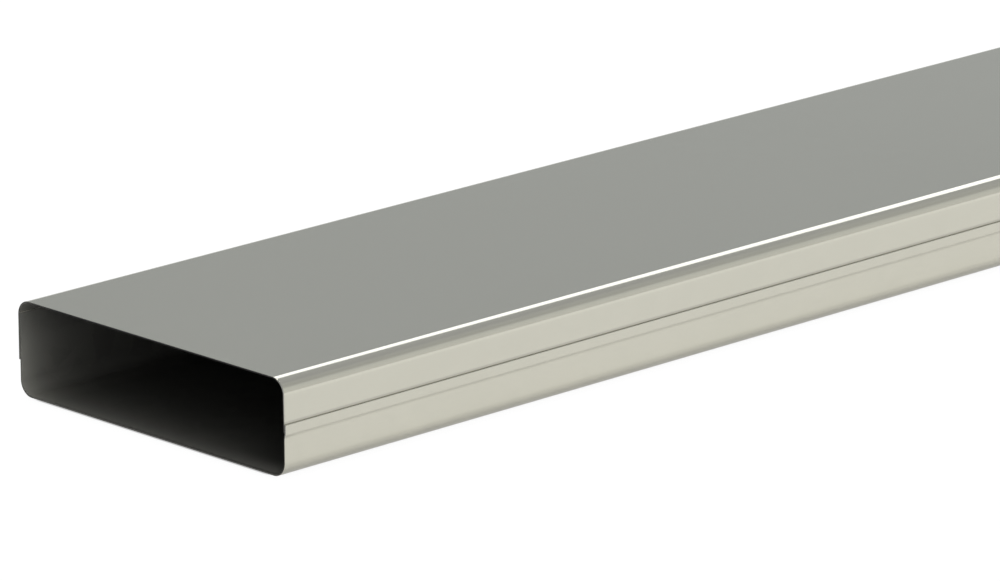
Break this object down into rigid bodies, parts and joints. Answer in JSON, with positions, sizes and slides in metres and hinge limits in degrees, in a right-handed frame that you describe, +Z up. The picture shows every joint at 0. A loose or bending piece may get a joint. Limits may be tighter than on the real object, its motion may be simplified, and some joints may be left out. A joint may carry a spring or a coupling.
{
  "type": "flat channel duct",
  "caption": "Flat rectangular air duct with rounded long corners, folded from galvanised sheet as an upper and a lower shell with a lapped seam on each narrow wall.",
  "frame": {"origin": "middle of the duct's flat bottom face, half way along its length", "axes": "+Y along the duct, +X across it towards the wall with the set-out lip, +Z up through the wide top wall"},
  "size_m": [0.2036, 1, 0.0516],
  "materials": {
    "galvanised_sheet": "bright zinc coating with a fine rolled grain and faint spangle, bare steel on the cut edges"
  },
  "bodies": {
    "root": {"upper_shell": "galvanised_sheet", "lower_shell": "galvanised_sheet"}
  },
  "joints": []
}
